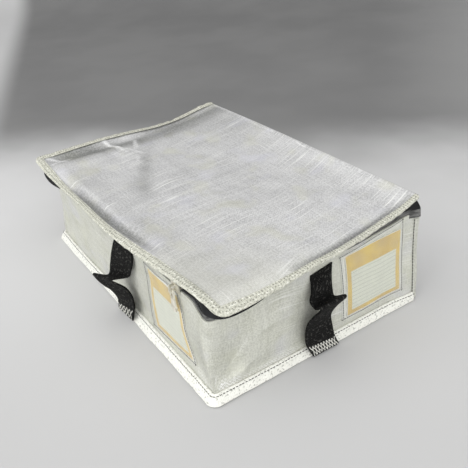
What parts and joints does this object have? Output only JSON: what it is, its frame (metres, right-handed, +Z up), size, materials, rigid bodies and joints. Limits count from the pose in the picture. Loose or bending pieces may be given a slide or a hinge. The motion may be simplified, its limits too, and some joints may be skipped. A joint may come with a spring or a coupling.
{
  "type": "battery storage bag",
  "caption": "Soft box-shaped fire-resistant battery bag of coated glass cloth with a zipped hinged lid, bound edges, webbing handles and clear card pockets.",
  "frame": {"origin": "middle of the base between the walls, on the surface the bag stands on", "axes": "+Z up, +X to the right along the zipped front wall, +Y towards the back wall where the lid hinges"},
  "size_m": [0.3352, 0.2187, 0.0907],
  "materials": {
    "glass_cloth": "coated plain-weave glass cloth, satin",
    "felt": "needled insulating felt",
    "lining": "coated woven lining",
    "binding": "woven binding tape with two rows of stitches",
    "zip_tape": "woven polyester zip tape",
    "zip_teeth": "moulded nylon coil",
    "zip_metal": "die-cast zinc, pale nickel plate",
    "webbing": "ribbed polypropylene webbing",
    "clear_film": "clear flexible vinyl film",
    "card": "printed card, matt"
  },
  "bodies": {
    "bag": {"base_cloth": "glass_cloth", "base_felt": "felt", "base_lining": "lining", "wall_cloth": "glass_cloth", "wall_felt": "felt", "wall_lining": "lining", "back_cloth": "glass_cloth", "back_felt": "felt", "back_lining": "lining", "base_binding": "binding", "left_seam_binding": "binding", "right_seam_binding": "binding", "wall_zip_tape": "zip_tape", "wall_zip_teeth": "zip_teeth", "zip_stops": "zip_metal", "front_strap_ends": "webbing", "right_strap_ends": "webbing", "left_strap_ends": "webbing", "front_pocket": "clear_film", "right_pocket": "clear_film", "left_pocket": "clear_film", "front_card": "card", "right_card": "card", "left_card": "card"},
    "lid": {"lid_cloth": "glass_cloth", "lid_felt": "felt", "lid_lining": "lining", "lid_binding": "binding", "lid_zip_tape": "zip_tape", "lid_zip_teeth": "zip_teeth"},
    "slider": {"zip_slider": "zip_metal"},
    "pull": {"zip_pull": "zip_metal"},
    "front_loop": {"front_strap": "webbing"},
    "right_loop": {"right_strap": "webbing"},
    "left_loop": {"left_strap": "webbing"}
  },
  "joints": [
    {"name": "lid_hinge", "type": "hinge", "parent": "bag", "child": "lid", "pos_m": [0, 0.095, 0.088], "axis": [-1, 0, 0], "range_deg": [0, 180]},
    {"name": "slider_travel", "type": "slide", "parent": "bag", "child": "slider", "axis": [1, 0, 0], "range_m": [-0.236, 0.02]},
    {"name": "pull_swing", "type": "hinge", "parent": "slider", "child": "pull", "pos_m": [0.108, -0.0986, 0.0809], "axis": [-1, 0, 0], "range_deg": [0, 120]},
    {"name": "front_strap_swing", "type": "hinge", "parent": "bag", "child": "front_loop", "pos_m": [0.015, -0.10205, 0.033], "axis": [0, 0, 1], "range_deg": [-25, 25]},
    {"name": "right_strap_swing", "type": "hinge", "parent": "bag", "child": "right_loop", "pos_m": [0.15105, 0, 0.033], "axis": [0, 0, 1], "range_deg": [-25, 25]},
    {"name": "left_strap_swing", "type": "hinge", "parent": "bag", "child": "left_loop", "pos_m": [-0.15105, 0, 0.033], "axis": [0, 0, 1], "range_deg": [-25, 25]}
  ]
}
